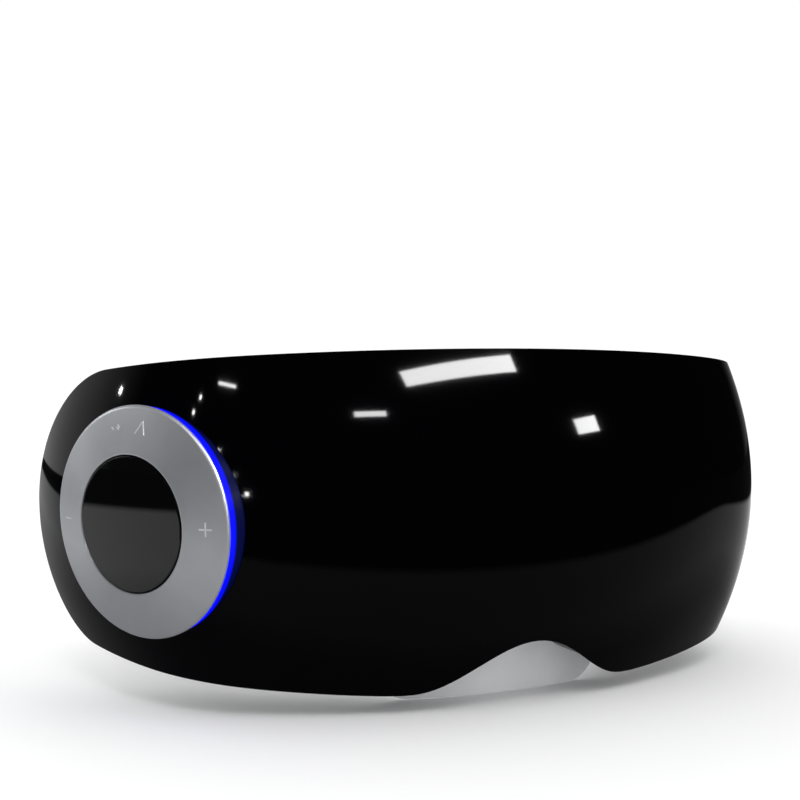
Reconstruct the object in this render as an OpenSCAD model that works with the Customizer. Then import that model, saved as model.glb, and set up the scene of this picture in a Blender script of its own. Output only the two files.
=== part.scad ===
// Eye massager mask: a curved gloss visor worn over the eyes, with a control dial on the
// wearer's right temple, two air-driven massage pads, vibration motors, speakers and a head strap.
// +X is the wearer's left, -Y is the front and +Z is up. The origin is the point between the
// brows where the face cushion rests, and the cushion follows a cylinder about [0, face_r].

/* [Visor shape, seen from above] */
// Depth from the front of the visor back to the brow
mask_depth = 34; // [33:0.5:36]
// Radius of the front
front_r = 146; // [144:1:150]
// Angle at which the front gives way to the corner
front_a = 29; // [28:0.5:30]
// Radius of the corners
corner_r = 50; // [49:0.5:52]
// Angle at which the corner gives way to the temple
corner_a = 68; // [67:0.5:69]
// Radius of the temples
temple_r = 110; // [106:1:114]
// Length of each temple along the surface
temple_l = 46; // [45.5:0.5:47]

/* [Visor shape, seen from the front] */
// Radius of the crown from top edge to bottom edge
crown_r = 89; // [87:1:94]
// Height at which the crown stands proudest
crown_z = 2.5; // [1.5:0.5:3.5]
// Height of the top edge at the middle
top_z = 41.8; // [41:0.2:43]
// How far the top edge has dropped at the temples
top_drop = 8.1; // [7.5:0.1:8.5]
// Height of the lowest points, under the eyes
lobe_z = -39.9; // [-41:0.1:-39.5]
// Height of the nose notch
notch_h = 12.1; // [11:0.1:13]
// Half the width of the nose notch
notch_w = 33.8; // [33:0.2:36]
// How far the bottom edge has risen at the temples
low_rise = 11.5; // [11:0.5:12.5]
// Length of the rounded rear corner along the top edge
top_corner_l = 34.5; // [33:0.5:36]
// Length of the rounded rear corner along the bottom edge
low_corner_l = 25; // [24:0.5:27]
// Height of the tip between the two rear corners
tip_z = 1.4; // [0:0.2:3]

/* [Walls and cushion] */
// Thickness of the visor
shell_t = 2.2; // [2:0.1:2.4]
// Thickness of the rear housing's walls
wall_t = 1.8; // [1.6:0.1:2]
// Radius of the cushion's face, which is the wearer's face
face_r = 84; // [83:0.5:85]
// Thickness of the face cushion
cushion_t = 8.3; // [8:0.1:8.4]
// How much the housing narrows in height from the visor to the face
rear_taper = 0.93; // [0.92:0.01:0.95]

/* [Control dial] */
// Distance of the dial's centre from the middle, along the surface
dial_s = 100.9; // [100:0.1:102]
// Height of the dial's centre
dial_z = 1.5; // [1:0.1:2]
// Direction that the dial faces, from straight ahead
dial_a = 60.4; // [60:0.1:61]
// How far the dial faces downwards
dial_tilt = 2; // [1:0.5:3]
// Outer radius of the metal ring
ring_r = 27.3; // [27.1:0.1:27.4]
// Radius of the centre button
button_r = 15.8; // [15.7:0.1:15.9]
// Rise of the ring's cone from rim to middle
ring_rise = 3.3; // [3.2:0.1:3.4]
// Radius of the tilt pins
pin_r = 0.8; // [0.75:0.05:0.9]

/* [Massage pads] */
// Width of a pad
pad_w = 46; // [44:1:47]
// Height of a pad
pad_h = 34; // [32:1:35]
// Direction of each eye from the middle of the face
eye_a = 22; // [22:0.5:23]
// Height of the eyes
eye_z = 3; // [2:0.5:4]

/* [Head strap] */
// Width of the elastic
strap_w = 25; // [22:1:25]
// Thickness of the elastic
strap_t = 1.6; // [1.4:0.1:1.8]
// Length of the straight run from each side
strap_run = 40; // [38:1:42]

/* [Hidden] */
$fn = 96;
DEG = 180 / PI;

front_l = front_r * front_a / DEG;
corner_l = front_l + corner_r * (corner_a - front_a) / DEG;
visor_l = corner_l + temple_l;
corner_c = (front_r - corner_r) * [sin(front_a), -cos(front_a)] + [0, front_r];
temple_c = corner_c + (corner_r - temple_r) * [sin(corner_a), -cos(corner_a)];
low_rise_start = 36;
shell_gap = 0.25;
rim_inset = 0.8;
wall_inset = rim_inset + wall_t;
rear_r = face_r + 10;
flap_t = 1.4;
tiny = 0.01;

// --- The visor's surface -------------------------------------------------------------------

// Direction of the surface at distance s from the middle, for s of 0 or more
function heading(s) = s <= front_l ? s / front_r * DEG
    : s <= corner_l ? front_a + (s - front_l) / corner_r * DEG
    : corner_a + (s - corner_l) / temple_r * DEG;
function arc_centre(s) = s <= front_l ? [0, front_r] : s <= corner_l ? corner_c : temple_c;
function arc_radius(s) = s <= front_l ? front_r : s <= corner_l ? corner_r : temple_r;
function side(s) = s < 0 ? -1 : 1;

// A point at distance s round the visor and height z, and depth mm under the surface
function skin(s, z, depth = 0) =
    let (a = heading(abs(s)), c = arc_centre(abs(s)), slope = (z - crown_z) / crown_r,
        r = arc_radius(abs(s)) - pow(z - crown_z, 2) / (2 * crown_r),
        n = [side(s) * sin(a), -cos(a), slope] / norm([1, slope]))
    [side(s) * (c.x + r * sin(a)), c.y - r * cos(a) - mask_depth, z] - depth * n;

// Height lost to an elliptical corner that is l long and h high
function corner_loss(s, l, h) = h * (1 - sqrt(1 - pow(max(0, s - visor_l + l) / l, 2)));
function top_edge(s) = top_z - top_drop * pow(s / visor_l, 2)
    - corner_loss(abs(s), top_corner_l, top_z - top_drop - tip_z);
function low_edge(s) = lobe_z + notch_h * pow(cos(90 * min(1, abs(s) / notch_w)), 2.2)
    + low_rise * pow(max(0, abs(s) - low_rise_start) / (visor_l - low_rise_start), 1.25)
    + corner_loss(abs(s), low_corner_l, tip_z - lobe_z - low_rise);

// 2n+1 stations from one end to the other, closer together towards the ends
function stations(l, n) = [for (i = [-n:n]) l * sin(90 * i / n)];
// Heights from the bottom edge to the top edge at s
function heights(s, rows, inset) =
    [for (j = [0:rows]) (low_edge(s) + inset) * (1 - j / rows) + (top_edge(s) - inset) * j / rows];
function skin_grid(ss, rows, depth, inset) =
    [for (s = ss) [for (z = heights(s, rows, inset)) skin(s, z, depth)]];

// Angle round the face's axis of the visor's point s, and the way back
function face_angle(s) = let (p = skin(s, crown_z)) atan2(p.x, face_r - p.y);
face_angles = [for (i = [0:40]) [face_angle(visor_l * i / 40), visor_l * i / 40]];
function visor_s(a) = sign(a) * lookup(abs(a), face_angles);
function face_point(a, r, z) = [r * sin(a), face_r - r * cos(a), z];
function face_z(z) = crown_z + (z - crown_z) * rear_taper;
function face_grid(ss, rows, r, inset) =
    [for (s = ss) [for (z = heights(s, rows, inset)) face_point(face_angle(s), r, face_z(z))]];

// A closed solid between an outer and an inner grid of points, column by column
module slab(outer, inner) {
    n = len(outer);
    m = len(outer[0]);
    in0 = n * m;
    function quad(a, b, c, d) = [[a, b, c], [a, c, d]];
    cells = [for (i = [0:n - 2], j = [0:m - 2]) i * m + j];
    faces = concat(
        [for (k = cells) each quad(k, k + 1, k + m + 1, k + m)],
        [for (k = cells) each quad(in0 + k, in0 + k + m, in0 + k + m + 1, in0 + k + 1)],
        [for (i = [0:n - 2]) let (k = i * m) each quad(k, k + m, in0 + k + m, in0 + k)],
        [for (i = [0:n - 2]) let (k = i * m + m - 1) each quad(k + m, k, in0 + k, in0 + k + m)],
        [for (j = [0:m - 2]) each quad(j + 1, j, in0 + j, in0 + j + 1)],
        [for (j = [0:m - 2]) let (k = (n - 1) * m + j) each quad(k, k + 1, in0 + k + 1, in0 + k)]);
    polyhedron(points = concat([for (c = outer) each c], [for (c = inner) each c]), faces = faces);
}

// Places children at a face angle, radius and height, with local +Y towards the face's axis
module at_face(a, r, z = 0) {
    translate(face_point(a, r, z)) rotate([0, 0, a]) children();
}

// Places children at s on the visor, depth mm behind it, with local +Y away from it
module at_visor(s, depth, z = 0) {
    p = skin(s, crown_z, depth);
    translate([p.x, p.y, z]) rotate([0, 0, side(s) * heading(abs(s))]) children();
}

module both_sides() {
    children();
    mirror([1, 0, 0]) children();
}

module tube(r_in, r_out, z0, z1) {
    translate([0, 0, z0]) difference() {
        cylinder(r = r_out, h = z1 - z0);
        translate([0, 0, -1]) cylinder(r = r_in, h = z1 - z0 + 2);
    }
}

module disc(r, z0, z1) {
    translate([0, 0, z0]) cylinder(r = r, h = z1 - z0);
}

// A box by its size, centred in X and Z and starting at y = 0
module block(w, d, h) {
    translate([-w / 2, 0, -h / 2]) cube([w, d, h]);
}

// --- Casing --------------------------------------------------------------------------------

// Face angle and height of the housing's screws on one side
screw_spots = [[9, 32], [30, 31], [24.5, -29], [66, 15], [66, -13]];
screw_r = 1.2;
boss_r = 2.6;
boss_end = 1.7;
shell_stations = stations(visor_l - 0.1, 36);
shell_rows = 8;

module at_screws() {
    for (spot = screw_spots, way = [-1, 1])
        at_face(way * spot[0], rear_r, spot[1]) rotate([90, 0, 0]) children();
}

// Length of a screw boss, from the housing's wall into the visor
function boss_top(spot) =
    let (p = skin(visor_s(spot[0]), spot[1], boss_end)) norm([p.x, face_r - p.y]) - rear_r;

module front_shell() {
    color("#0a0a0c") difference() {
        union() {
            slab(skin_grid(shell_stations, shell_rows, 0, 0),
                skin_grid(shell_stations, shell_rows, shell_t, 0));
            for (spot = screw_spots, way = [-1, 1])
                at_face(way * spot[0], rear_r, spot[1]) rotate([90, 0, 0])
                    disc(boss_r, wall_t + 0.2, boss_top(spot));
            on_dial() for (i = [0:2]) at_dial_screw(i) disc(2.4, base_top, dial_boss_tops[i]);
        }
        at_screws() disc(screw_r + 0.05, 0, 10);
        on_dial() disc(ring_r - 0.2, -14, 8);
        on_dial() at_dial_screws() disc(1.05, base_floor_z, dial_screw_tip + 0.1);
    }
}

housing_stations = stations(visor_l - 1.5, 26);
cavity_stations = stations(visor_l - 4.5, 26);
strap_a = 69.3;
strap_slot_w = 2.8;
port_s = 62;
port_depth = 15;
port_z = -32;
speaker_a = 61.5;
airbag_port_z = eye_z - pad_h / 2 + 6;

module rear_housing() {
    color("#c9cacc") difference() {
        slab(skin_grid(housing_stations, 4, shell_t + shell_gap, rim_inset),
            face_grid(housing_stations, 4, rear_r, rim_inset));
        slab(skin_grid(cavity_stations, 4, shell_t - 1, wall_inset),
            face_grid(cavity_stations, 4, rear_r + wall_t, wall_inset));
        at_screws() disc(screw_r + 0.1, -1, wall_t + 1);
        both_sides() at_face(strap_a, rear_r, crown_z)
            translate([0, -6, 0]) block(strap_slot_w, 8, strap_w + 1.5);
        both_sides() at_face(speaker_a, rear_r, crown_z)
            for (x = [-2.4:2.4:2.4], z = [-6:3:6])
                translate([x, 2, z]) rotate([90, 0, 0]) cylinder(r = 0.7, h = 6, $fn = 24);
        at_visor(port_s, port_depth, -38) block(9.4, 3.8, 10);
        both_sides() at_face(eye_a, rear_r, airbag_port_z)
            translate([0, 2, 0]) rotate([90, 0, 0]) cylinder(r = 1.6, h = 6);
    }
}

// Outline of an oval that is w wide and h high
module oval(w, h) {
    square([w - h, h], center = true);
    for (x = [-1, 1]) translate([x * (w - h) / 2, 0]) circle(d = h);
}

// The oval as a prism through the face's wall at one eye
module eye_prism(w, h) {
    at_face(eye_a, rear_r + 4, eye_z) rotate([-90, 0, 0]) linear_extrude(height = 26) oval(w, h);
}

// A curved plate of the face cylinder between two radii, cut to the eye's oval
module eye_plate(r_in, r_out, w, h) {
    intersection() {
        translate([0, face_r, -50]) difference() {
            cylinder(r = r_out, h = 100, $fn = 180);
            translate([0, 0, -1]) cylinder(r = r_in, h = 102, $fn = 180);
        }
        eye_prism(w, h);
    }
}

cushion_l = visor_l - 34;
cushion_end_l = 14;
cushion_stations = stations(cushion_l, 26);

// Share of its height that the cushion keeps at s, less towards its rounded ends
function end_round(s) =
    1 - 0.45 * (1 - sqrt(1 - pow(max(0, abs(s) - cushion_l + cushion_end_l) / cushion_end_l, 2)));
function cushion_grid(r, inset) = [for (s = cushion_stations) let (mid = (low_edge(s) + top_edge(s)) / 2)
    [for (z = heights(s, 4, inset)) face_point(face_angle(s), r, face_z(mid + (z - mid) * end_round(s)))]];

module face_cushion() {
    color("#b9bbbf") difference() {
        slab(cushion_grid(face_r + cushion_t, 2), cushion_grid(face_r, 2.6));
        both_sides() eye_prism(pad_w + 3, pad_h + 3);
    }
}

flap_low_z = -44.4;
flap_half_w = 36;

// Lower edge of the flap at x: level in the middle, then curving up at the ends
function flap_low(x) = flap_low_z + 9 * pow(max(0, abs(x) - 24) / (flap_half_w - 24), 2);

module nose_flap() {
    xs = [for (i = [-14:14]) flap_half_w * i / 14];
    function sheet(r) =
        [for (x = xs) let (a = asin(x / r)) [for (z = [flap_low(x), -30, -24]) face_point(a, r, z)]];
    color("#c4c6c9") slab(sheet(rear_r - 0.1), sheet(rear_r - 0.1 - flap_t));
}

module housing_screws() {
    color("silver") at_screws() {
        disc(screw_r, -0.1, 8);
        disc(2.2, -1.3, -0.1);
    }
}

// --- Control dial, built along its own axis, with z = 0 at the metal ring's rim --------------

dial_lift = -2.5;
base_floor_z = -11.7;
base_floor_t = 1.2;
base_top = base_floor_z + base_floor_t;
led_board_t = 0.8;
base_r = 24.2;
flange_r = 28.2;
pivot_z = -2.9;
gimbal_in = 20.6;
gimbal_out = 22.6;
ring_in = button_r + 0.3;
dial_board_z = -8.4;
board_t = 1.2;
board_top = dial_board_z + board_t;
switch_ring_r = 17.8;
carrier_in = 16.7;
carrier_out = 22.6;
ring_slope = ring_rise / (ring_r - button_r);

module on_dial() {
    translate(skin(-dial_s, dial_z, -dial_lift)) rotate([0, 0, -dial_a])
        rotate([90 + dial_tilt, 0, 0]) children();
}

// The visor curves away from the dial, so each screw boss reaches it at its own height
dial_boss_tops = [-6.4, -5.2, -5];
dial_screw_tip = -8.4;
dial_screw_ring = 31;

module at_dial_screw(i) {
    rotate([0, 0, 60 + 120 * i]) translate([dial_screw_ring, 0, 0]) children();
}

module at_dial_screws() {
    for (i = [0:2]) at_dial_screw(i) children();
}

module dial_base() {
    color("#1b1b1e") on_dial() difference() {
        union() {
            disc(flange_r, base_floor_z, base_top);
            for (i = [0:2]) rotate([0, 0, 60 + 120 * i])
                translate([26, -2.6, base_floor_z]) cube([5, 5.2, base_floor_t]);
            at_dial_screws() disc(2.6, base_floor_z, base_top);
            tube(base_r - 1.2, base_r, base_floor_z + tiny, -1.9);
            tube(base_r - 2.6, base_r - 1.1, base_floor_z + tiny, dial_board_z);
            for (a = [0, 180]) rotate([0, 0, a]) translate([gimbal_in + 0.6, 0, pivot_z]) rotate([0, 90, 0])
                cylinder(r = pin_r, h = base_r - gimbal_in - 1.2);
        }
        at_dial_screws() disc(1.1, base_floor_z - 1, base_top + 1);
        disc(6, base_floor_z - 1, base_floor_z + 2);
    }
}

module light_guide() {
    color("#2a45ff") on_dial() tube(base_r + 0.2, ring_r - 0.4, -9, -1.1);
}

module led_ring_board() {
    color("#1f5c34") on_dial() tube(base_r + 0.1, flange_r - 0.4, base_top, base_top + led_board_t);
}

module dial_leds() {
    color("white") on_dial() for (a = [0:22.5:359]) rotate([0, 0, a])
        translate([25, -0.8, base_top + led_board_t]) cube([1.2, 1.6, 0.6]);
}

module dial_board() {
    color("#1f5c34") on_dial() disc(base_r - 1.5, dial_board_z, board_top);
}

module ring_switches() {
    color("#d8d4c8") on_dial() for (a = [0:90:270]) rotate([0, 0, a])
        translate([switch_ring_r - 2.25, -2.25, board_top]) cube([4.5, 4.5, 2.6]);
}

module centre_switch() {
    color("#d8d4c8") on_dial() difference() {
        translate([-3, -3, board_top]) cube([6, 6, 3]);
        disc(1.76, -5.9, 0);
    }
}

module switch_plunger() {
    color("#2b2b2e") on_dial() disc(1.7, -4.9, -3.4);
}

module button_guide() {
    color("#e6e6e6") on_dial() {
        tube(13.9, 15, board_top, -3.5);
        tube(2.56, 15, -3.6, -2.4);
    }
}

module tilt_ring() {
    color("#3a3a3e") on_dial() difference() {
        tube(gimbal_in, gimbal_out, -4, -1.8);
        for (a = [0:90:270]) rotate([0, 0, a]) translate([0, 0, pivot_z]) rotate([0, 90, 0])
            cylinder(r = pin_r + 0.05, h = 30);
    }
}

// Height of the metal ring's underside at radius r
function under_ring(r) = ring_rise - 1 - ring_slope * (r - ring_in);

module ring_carrier() {
    color("#232326") on_dial() {
        rotate_extrude() polygon([[carrier_in, -1.2], [carrier_out, -1.2],
            [carrier_out, under_ring(carrier_out)], [carrier_in, under_ring(carrier_in)]]);
        for (a = [0:90:270]) rotate([0, 0, a]) translate([16.9, -1, -4]) cube([1.8, 2, 3]);
        for (a = [90, 270]) rotate([0, 0, a]) {
            translate([18.6, -2.5, -3.9]) cube([1.6, 5, 3]);
            translate([19.6, 0, pivot_z]) rotate([0, 90, 0]) cylinder(r = pin_r, h = 2.7);
        }
    }
}

module control_ring() {
    color("#8b9199") on_dial() rotate_extrude() polygon([
        [ring_in, under_ring(ring_in)], [25, under_ring(25)], [25, -0.5], [ring_r, -0.5],
        [ring_r, -0.25], [ring_r - 0.35, 0.1], [ring_in + 0.3, ring_rise], [ring_in, ring_rise - 0.15]]);
}

module centre_button() {
    color("#101114") on_dial() {
        rotate_extrude() polygon([[0, ring_rise - 1.5], [14.2, ring_rise - 1.5], [14.2, 0.2],
            [button_r - 0.2, 0.2], [button_r - 0.2, 1], [button_r, 1], [button_r, ring_rise - 0.15],
            [button_r - 0.25, ring_rise + 0.1], [0, ring_rise + 0.1]]);
        disc(2.5, -3.4, 2.5);
    }
}

module dial_screws() {
    color("silver") on_dial() at_dial_screws() {
        disc(1, base_floor_z - 0.1, dial_screw_tip);
        disc(1.9, base_floor_z - 1.2, base_floor_z - 0.1);
    }
}

// --- Massage pads --------------------------------------------------------------------------

module airbag() {
    color("#dfe6ea") eye_plate(rear_r - 3.2, rear_r - 0.2, pad_w - 3, pad_h - 3);
}

module heating_film() {
    color("#c58f3a") eye_plate(rear_r - 3.6, rear_r - 3.4, pad_w - 2, pad_h - 2);
}

module eye_pad() {
    color("#a9abb0") union() {
        eye_plate(rear_r - 7, rear_r - 3.6, pad_w, pad_h);
        for (a = [0:45:315]) at_face(eye_a, rear_r - 7, eye_z)
            translate([15 * cos(a), 0.9 + 0.9 * pow(cos(a), 2), 10.5 * sin(a)]) sphere(r = 2.4, $fn = 32);
    }
}

module left_airbag() { airbag(); }
module right_airbag() { mirror([1, 0, 0]) airbag(); }
module left_heating_film() { heating_film(); }
module right_heating_film() { mirror([1, 0, 0]) heating_film(); }
module left_eye_pad() { eye_pad(); }
module right_eye_pad() { mirror([1, 0, 0]) eye_pad(); }

// --- Electronics ---------------------------------------------------------------------------

main_board_y = 9.2 - mask_depth;
main_board_z = 4;
battery_y = 14 - mask_depth;

module main_board() {
    color("#1f5c34") translate([0, main_board_y, main_board_z]) difference() {
        block(62, board_t, 36);
        for (x = [-28, 28], z = [-15, 15]) translate([x, 3, z]) rotate([90, 0, 0]) cylinder(r = 1.2, h = 6);
    }
}

module board_chips() {
    color("#26272b") translate([0, main_board_y + board_t, main_board_z]) {
        translate([-16, 0, 6]) block(9, 1.2, 9);
        translate([2, 0, 8]) block(6, 1, 5);
        translate([18, 0, 5]) block(7, 1.4, 7);
        translate([-18, 0, -10]) block(5, 1.2, 6);
        translate([8, 0, -9]) block(12, 2.2, 5);
        for (x = [-4:4:24]) translate([x, 0, -3]) block(2, 0.8, 1.2);
    }
}

module battery() {
    color("#b8bcc2") translate([0, battery_y, 4]) {
        block(50, 5.6, 32);
        translate([0, 0.8, 17.5]) block(36, 4, 3);
    }
}

module charging_board() {
    color("#1f5c34") at_visor(port_s, port_depth + 3.6, port_z + 5) block(13, 1, 12);
}

module usb_port() {
    at_visor(port_s, port_depth + 0.2, port_z) {
        color("#c8ccd0") difference() {
            union() {
                translate([0, 1.65, -3.6]) linear_extrude(height = 7.2) oval(8.9, 3.3);
                translate([0, 2.4, 0.8]) block(8.9, 1, 5.6);
            }
            translate([0, 1.65, -4]) linear_extrude(height = 6.6) oval(8.3, 2.7);
        }
        color("#222222") translate([0, 1.3, 0.8]) block(6.6, 0.7, 5);
    }
}

// --- Air supply ----------------------------------------------------------------------------

pump_s = 76;
pump_depth = 14;
crank_z = 4.4;

module at_pump() {
    at_visor(pump_s, pump_depth) children();
}

module pump_motor() {
    color("#9aa0a6") at_pump() difference() {
        union() {
            disc(8, -20.4, 0);
            disc(3, -tiny, 1);
        }
        disc(1.05, -3, 2);
    }
}

module pump_head() {
    color("#2d3440") at_pump() difference() {
        union() {
            translate([-8.5, -8.5, 0]) cube([17, 17, 16]);
            for (x = [-4, 4]) translate([x, 0, 0]) disc(1.5, 15.9, 20);
        }
        disc(3.05, -1, 1.1);
        disc(7, 1, 9);
        disc(6.2, 8.9, 12.5);
        for (x = [-4, 4]) translate([x, 0, 0]) disc(0.7, 12, 21);
    }
}

module pump_diaphragm() {
    color("#3f3f42") at_pump() disc(6.1, 9.6, 10.8);
}

module pump_crank() {
    color("#e4e0d6") at_pump() {
        disc(1, -2.8, crank_z + 3.2);
        translate([1.2, 0, 0]) disc(4, crank_z - 2, crank_z + 1.2);
    }
}

valve_s = 56;
valve_depth = 13;

module at_valve() {
    at_visor(valve_s, valve_depth, -6) children();
}

module valve_body() {
    color("#8d9298") at_valve() difference() {
        union() {
            translate([-5.5, -5, -8]) cube([11, 10, 16]);
            disc(1.5, 7.9, 11);
        }
        disc(2.05, -9, 3.2);
        disc(0.7, 3, 12);
    }
}

module valve_plunger() {
    color("#c8a24a") at_valve() disc(2, -9.5, 1.8);
}

// A round bar swept along a list of points, with rings of 8 points
module hose(path, r) {
    n = len(path);
    function dir(i) = let (d = path[min(n - 1, i + 1)] - path[max(0, i - 1)]) d / norm(d);
    function ring(i) = let (d = dir(i), u = cross(d, [0.3, 0, 1]), v = u / norm(u), w = cross(d, v))
        [for (k = [0:7]) path[i] + r * (cos(45 * k) * v + sin(45 * k) * w)];
    faces = concat([[for (k = [0:7]) k]], [[for (k = [7:-1:0]) (n - 1) * 8 + k]],
        [for (i = [0:n - 2], k = [0:7]) let (a = i * 8 + k, b = i * 8 + (k + 1) % 8)
            each [[a, a + 8, b + 8], [a, b + 8, b]]]);
    polyhedron(points = [for (i = [0:n - 1]) each ring(i)], faces = faces);
}

function bezier(a, b, c, d, t) =
    pow(1 - t, 3) * a + 3 * pow(1 - t, 2) * t * b + 3 * (1 - t) * t * t * c + t * t * t * d;

// Path from a point going one way to another point, arriving from a direction
function lead(a, da, b, db, n = 10) = [for (i = [0:n]) bezier(a, a + da, b + db, b, i / n)];

tube_r = 1.4;
pump_out = skin(pump_s, crown_z, pump_depth);
valve_in = skin(valve_s, crown_z, valve_depth);
pump_way = heading(pump_s);
nozzle_x = 4 * [cos(pump_way), sin(pump_way), 0];
pump_port = [pump_out.x, pump_out.y, 0] - nozzle_x + [0, 0, 20.4];
valve_port = [valve_in.x, valve_in.y, 5.1];
left_port = face_point(eye_a, rear_r + wall_t + 0.2, airbag_port_z);
right_port = face_point(-eye_a, rear_r + wall_t + 0.2, airbag_port_z);
left_way = face_point(eye_a, rear_r + wall_t + 5, airbag_port_z) - left_port;
right_way = face_point(-eye_a, rear_r + wall_t + 5, airbag_port_z) - right_port;
tee = [40, -17, -19];

module air_tubes() {
    color("#e8ecee") {
        hose(lead(pump_port, [0, 0, 7], valve_port, [0, 0, 18]), tube_r);
        hose(lead(left_port, left_way, tee, [-2, -2, 3], 6), tube_r);
        hose(lead(tee + [-0.2, -0.3, -3], [-10, -6, -2], right_port, right_way * 1.4, 16), tube_r);
        translate(tee + [0, 0, -1.5]) sphere(r = 2.6, $fn = 32);
    }
}

// --- Vibration motors and speakers -----------------------------------------------------------

buzz_a = 25;
buzz_z = 25;
buzz_r = 3.5;

// Local +Z runs outwards along the motor's shaft
module at_buzz() {
    at_face(buzz_a, rear_r + wall_t + buzz_r + 1, buzz_z) rotate([0, 90, 0]) children();
}

module vibration_motor() {
    color("#a7acb2") at_buzz() difference() {
        union() {
            disc(buzz_r, -7, 5);
            translate([-buzz_r, 0, -5]) cube([2 * buzz_r, buzz_r + 0.9, 8]);
        }
        disc(0.55, -2, 6);
    }
}

module vibration_weight() {
    color("#6f6557") at_buzz() {
        disc(0.5, -1.8, 9.4);
        intersection() {
            disc(3, 5.6, 9.2);
            translate([-0.8, -4, 5]) cube([4, 8, 5]);
        }
    }
}

module speaker() {
    color("#3c3c40") at_face(speaker_a, rear_r + wall_t + 0.1, crown_z) rotate([90, 0, 0]) {
        tube(7.4, 9, 0.9, 1.6);
        disc(9, 1.5, 4.6);
        disc(4, 4.5, 6);
    }
}

module left_vibration_motor() { vibration_motor(); }
module right_vibration_motor() { mirror([1, 0, 0]) vibration_motor(); }
module left_vibration_weight() { vibration_weight(); }
module right_vibration_weight() { mirror([1, 0, 0]) vibration_weight(); }
module left_speaker() { speaker(); }
module right_speaker() { mirror([1, 0, 0]) speaker(); }

// --- Head strap ------------------------------------------------------------------------------

strap_lean = 8;
strap_in = face_point(strap_a, rear_r + 4, 0);
strap_out = face_point(strap_a, rear_r - 1.2, 0);
strap_way = [-sin(strap_lean), cos(strap_lean), 0];
strap_turn = strap_out + [-3.2, 3.6, 0];
strap_end = strap_turn + strap_run * strap_way;
strap_back_y = 132;

// Centre line of the strap on the wearer's left, from inside the housing to the middle of the back
strap_half = concat([strap_in], lead(strap_out, [-1.4, 0.5, 0], strap_turn, -2 * strap_way, 5),
    lead(strap_end, 22 * strap_way, [0, strap_back_y, 0], [38, 0, 0], 16));
strap_line = concat(strap_half,
    [for (i = [len(strap_half) - 2:-1:0]) [-strap_half[i].x, strap_half[i].y, 0]]);

module head_strap() {
    n = len(strap_line);
    function normal(i) =
        let (d = strap_line[min(n - 1, i + 1)] - strap_line[max(0, i - 1)]) [d.y, -d.x] / norm(d);
    function flat(p) = [p.x, p.y];
    color("#2b2c30") translate([0, 0, crown_z - strap_w / 2]) linear_extrude(height = strap_w)
        polygon(concat([for (i = [0:n - 1]) flat(strap_line[i]) + strap_t / 2 * normal(i)],
            [for (i = [n - 1:-1:0]) flat(strap_line[i]) - strap_t / 2 * normal(i)]));
}

// A clip that grips the strap's end inside the housing: a bar on each side of it
module strap_clip() {
    color("#1b1b1e") at_face(strap_a, rear_r + wall_t + 0.1, crown_z) for (x = [-1, 1])
        translate([x * (strap_t / 2 + 1.05), -2.3, 0]) block(2, 2.2, strap_w - 1);
}

module left_strap_clip() { strap_clip(); }
module right_strap_clip() { mirror([1, 0, 0]) strap_clip(); }

slider_l = 16;
slider_at = strap_turn + 22 * strap_way + [0, 0, crown_z];

module strap_slider() {
    color("#1b1b1e") translate(slider_at) rotate([0, 0, strap_lean]) difference() {
        translate([-2.4, -slider_l / 2, -strap_w / 2 - 2.5]) cube([4.8, slider_l, strap_w + 5]);
        translate([-strap_t / 2 - 0.3, -slider_l, -strap_w / 2 - 0.5])
            cube([strap_t + 0.6, 2 * slider_l, strap_w + 1]);
        for (y = [-1, 1]) translate([0, y * 3.6 - 1.6, -strap_w / 2 + 1.5]) cube([4, 3.2, strap_w - 3]);
    }
}

front_shell();
rear_housing();
face_cushion();
nose_flap();
dial_base();
light_guide();
led_ring_board();
dial_leds();
dial_board();
ring_switches();
centre_switch();
switch_plunger();
button_guide();
tilt_ring();
ring_carrier();
control_ring();
centre_button();
dial_screws();
left_airbag();
right_airbag();
left_heating_film();
right_heating_film();
left_eye_pad();
right_eye_pad();
main_board();
board_chips();
battery();
charging_board();
usb_port();
pump_motor();
pump_head();
pump_diaphragm();
pump_crank();
valve_body();
valve_plunger();
air_tubes();
left_vibration_motor();
right_vibration_motor();
left_vibration_weight();
right_vibration_weight();
left_speaker();
right_speaker();
housing_screws();
left_strap_clip();
right_strap_clip();
head_strap();
strap_slider();
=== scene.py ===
# %% [markdown]
# # Eye massager mask
# The mask is a curved gloss-black visor that is screwed to a grey housing. Behind the housing a soft
# cushion and two massage pads meet the face, and an elastic strap goes round the head. On the
# wearer's right temple sits a turned metal dial over a ring of blue light.
# The engineering model is loaded first. Pieces whose shape is already right only get a finish;
# the soft, crowned and polished ones are remodelled in its place, in the same frame and size.

# %% Load the frame
import math

import bmesh
import bpy
import numpy as np
from mathutils import Matrix, Vector
from mathutils.kdtree import KDTree


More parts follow.
